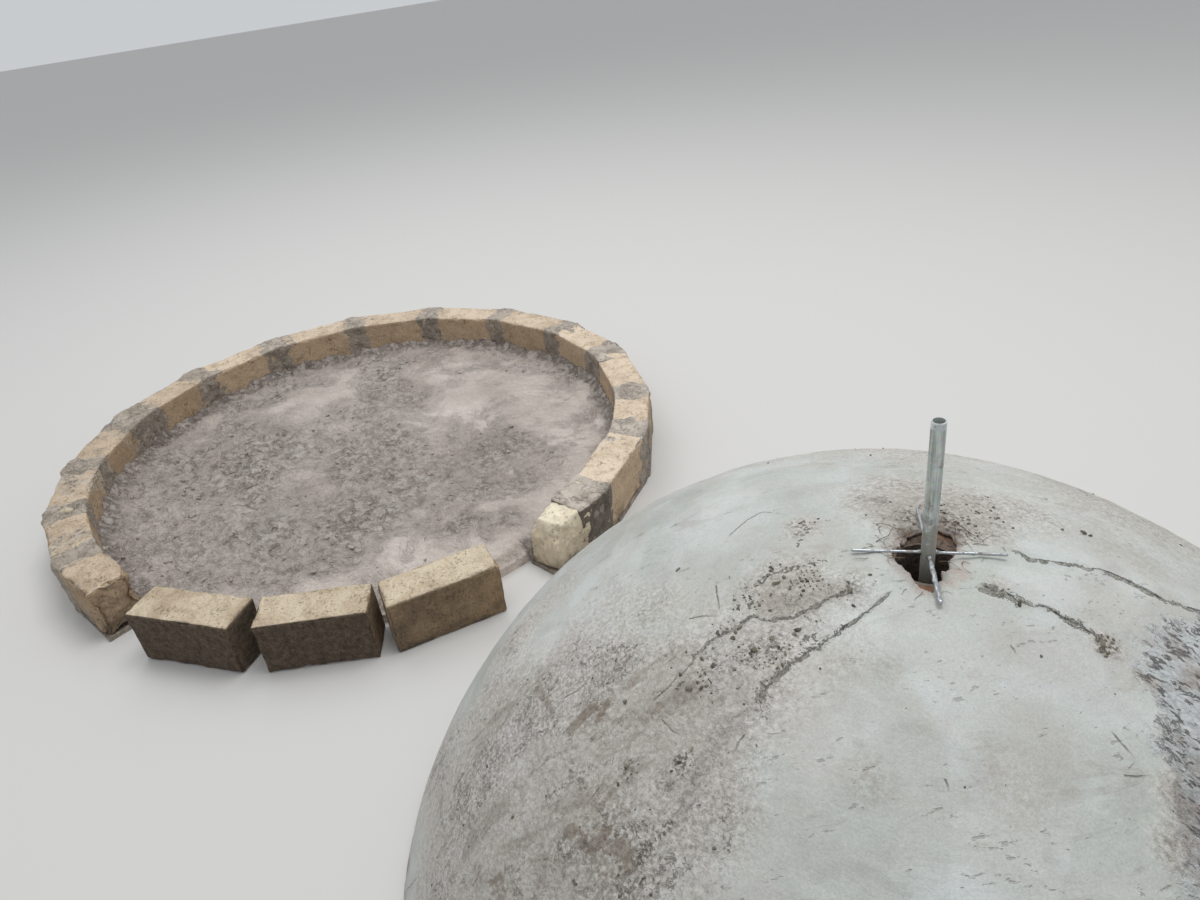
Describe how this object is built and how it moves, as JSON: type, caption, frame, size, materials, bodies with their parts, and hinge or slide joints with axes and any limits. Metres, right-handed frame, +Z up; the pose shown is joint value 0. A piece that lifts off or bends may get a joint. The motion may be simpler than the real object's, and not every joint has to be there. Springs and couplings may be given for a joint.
{
  "type": "fixed-dome biogas digester",
  "caption": "Plastered masonry dome of a fixed-dome biogas digester with its gas pipe, and the first course of the round expansion chamber beside it, from ground level up.",
  "frame": {"origin": "middle of the footprint, at ground level", "axes": "+X from the expansion chamber towards the dome, +Z up"},
  "size_m": [4.9578, 2.7712, 1.1449],
  "materials": {
    "chamber_stone": "rough quarried stone",
    "broken_stone": "freshly broken stone",
    "dry_stone": "rough quarried stone with mud",
    "joint_mortar": "smeared wet cement mortar",
    "floor_mortar": "wet trowelled mortar",
    "dome_plaster": "damp trowelled cement plaster",
    "dome_brick": "fired clay brick in mortar",
    "galvanised_pipe": "dull galvanised steel",
    "rod_steel": "plain round bar"
  },
  "bodies": {
    "root": {"chamber_stone_01": "chamber_stone", "chamber_stone_02": "chamber_stone", "chamber_stone_03": "chamber_stone", "chamber_stone_04": "chamber_stone", "chamber_stone_05": "chamber_stone", "chamber_stone_06": "chamber_stone", "chamber_stone_07": "chamber_stone", "chamber_stone_08": "chamber_stone", "chamber_stone_09": "chamber_stone", "chamber_stone_10": "chamber_stone", "chamber_stone_11": "chamber_stone", "chamber_stone_12": "chamber_stone", "chamber_stone_13": "chamber_stone", "chamber_stone_14": "chamber_stone", "broken_stone": "broken_stone", "dry_stone_1": "dry_stone", "dry_stone_2": "dry_stone", "dry_stone_3": "dry_stone", "mortar_right": "joint_mortar", "mortar_back": "joint_mortar", "mortar_left": "joint_mortar", "chamber_floor": "floor_mortar", "plaster_coat": "dome_plaster", "dome_masonry_1": "dome_brick", "dome_masonry_2": "dome_brick", "dome_masonry_3": "dome_brick", "dome_masonry_4": "dome_brick", "dome_masonry_5": "dome_brick", "dome_masonry_6": "dome_brick", "dome_masonry_7": "dome_brick", "dome_masonry_8": "dome_brick", "gas_pipe": "galvanised_pipe", "anchor_rod_1": "rod_steel", "anchor_rod_2": "rod_steel", "anchor_rod_3": "rod_steel", "anchor_rod_4": "rod_steel"}
  },
  "joints": []
}
